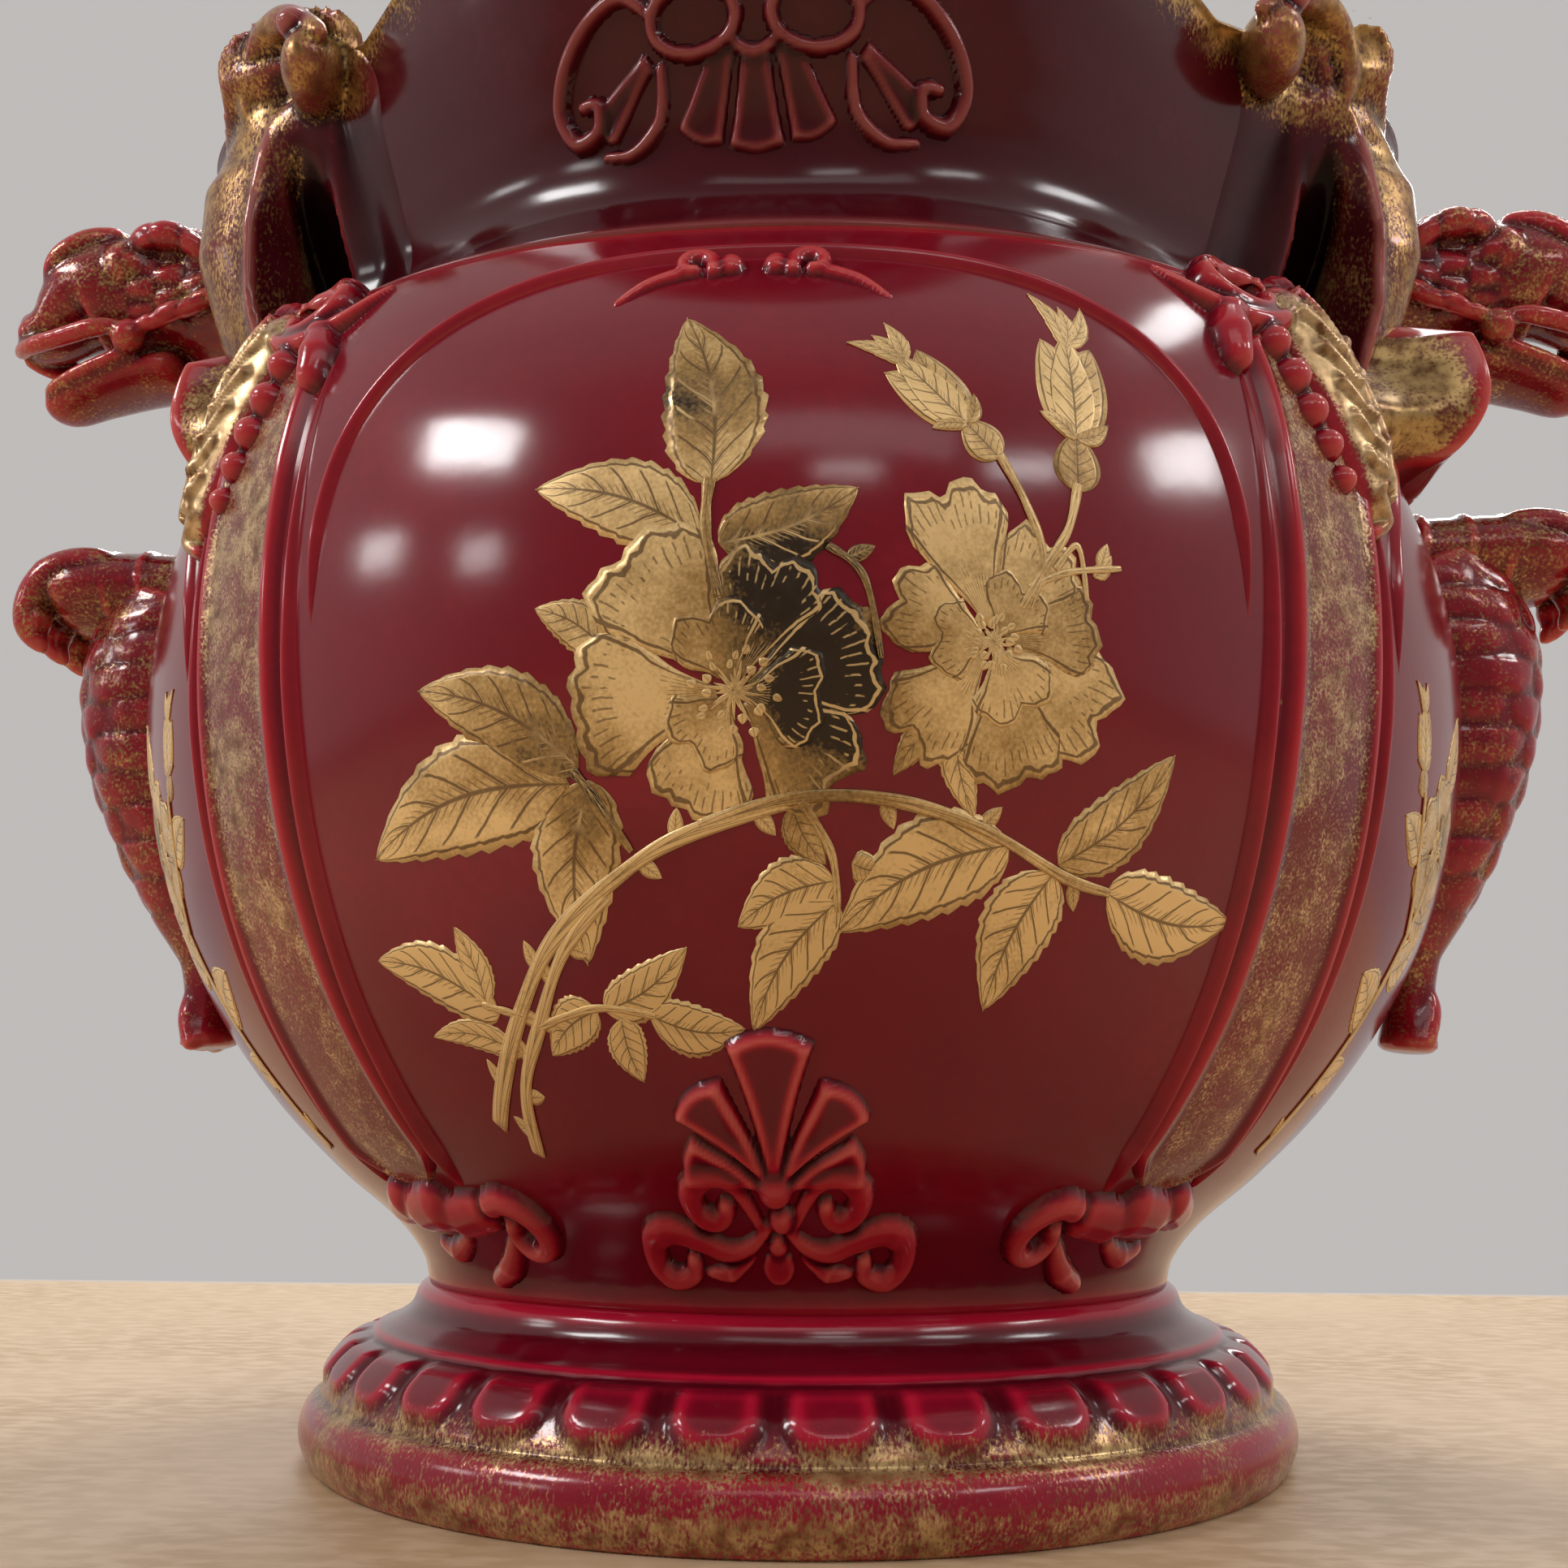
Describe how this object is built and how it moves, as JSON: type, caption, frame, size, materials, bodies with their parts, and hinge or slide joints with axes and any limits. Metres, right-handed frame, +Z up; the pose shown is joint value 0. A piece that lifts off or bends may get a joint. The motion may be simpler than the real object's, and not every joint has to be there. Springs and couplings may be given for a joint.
{
  "type": "cachepot",
  "caption": "Lobed cachepot on a raised foot, with a flared pinched collar, dragon handles, raised straps and applied relief.",
  "frame": {"origin": "middle of the foot's underside, where it rests", "axes": "+Z up, -Y to the front panel, +X to the right handle"},
  "size_m": [0.3152, 0.234, 0.2345],
  "materials": {
    "ruby_glaze": "high gloss ruby lustre glaze",
    "gilt_glaze": "ruby glaze sponged with gold",
    "gilt_foot": "ruby glaze sponged with gold at the edge",
    "dragon_glaze": "ruby glaze with gold highlights",
    "collar_glaze": "dark ruby lustre glaze"
  },
  "bodies": {
    "root": {"foot": "gilt_foot", "foot_tongues": "ruby_glaze", "bowl": "ruby_glaze", "collar": "collar_glaze", "strap_front_right": "gilt_glaze", "strap_front_left": "gilt_glaze", "strap_back_right": "gilt_glaze", "strap_back_left": "gilt_glaze", "corner_fold_front_right": "gilt_glaze", "corner_fold_front_left": "gilt_glaze", "corner_fold_back_right": "gilt_glaze", "corner_fold_back_left": "gilt_glaze", "rim_scroll_front_right": "ruby_glaze", "rim_scroll_front_left": "ruby_glaze", "rim_scroll_back_right": "ruby_glaze", "rim_scroll_back_left": "ruby_glaze", "shoulder_leaf_front_right": "gilt_glaze", "shoulder_leaf_front_left": "gilt_glaze", "shoulder_leaf_back_right": "gilt_glaze", "shoulder_leaf_back_left": "gilt_glaze", "pearl_drop_front_right": "ruby_glaze", "pearl_drop_front_left": "ruby_glaze", "pearl_drop_back_right": "ruby_glaze", "pearl_drop_back_left": "ruby_glaze", "strap_scroll_front_right": "ruby_glaze", "strap_scroll_front_left": "ruby_glaze", "strap_scroll_back_right": "ruby_glaze", "strap_scroll_back_left": "ruby_glaze", "dragon_wing_front_right": "dragon_glaze", "dragon_wing_front_left": "dragon_glaze", "dragon_wing_back_right": "dragon_glaze", "dragon_wing_back_left": "dragon_glaze", "panel_frame_front": "ruby_glaze", "panel_frame_back": "ruby_glaze", "panel_frame_right": "ruby_glaze", "panel_frame_left": "ruby_glaze", "palmette_front": "ruby_glaze", "palmette_back": "ruby_glaze", "crest_front": "ruby_glaze", "crest_back": "ruby_glaze", "cartouche_front": "ruby_glaze", "cartouche_back": "ruby_glaze", "dragon_head_right": "dragon_glaze", "dragon_head_left": "dragon_glaze", "dragon_neck_right": "dragon_glaze", "dragon_neck_left": "dragon_glaze", "dragon_jaw_right": "dragon_glaze", "dragon_jaw_left": "dragon_glaze", "dragon_claw_right": "dragon_glaze", "dragon_claw_left": "dragon_glaze", "dragon_body_right": "dragon_glaze", "dragon_body_left": "dragon_glaze", "dragon_tail_right": "dragon_glaze", "dragon_tail_left": "dragon_glaze"}
  },
  "joints": []
}
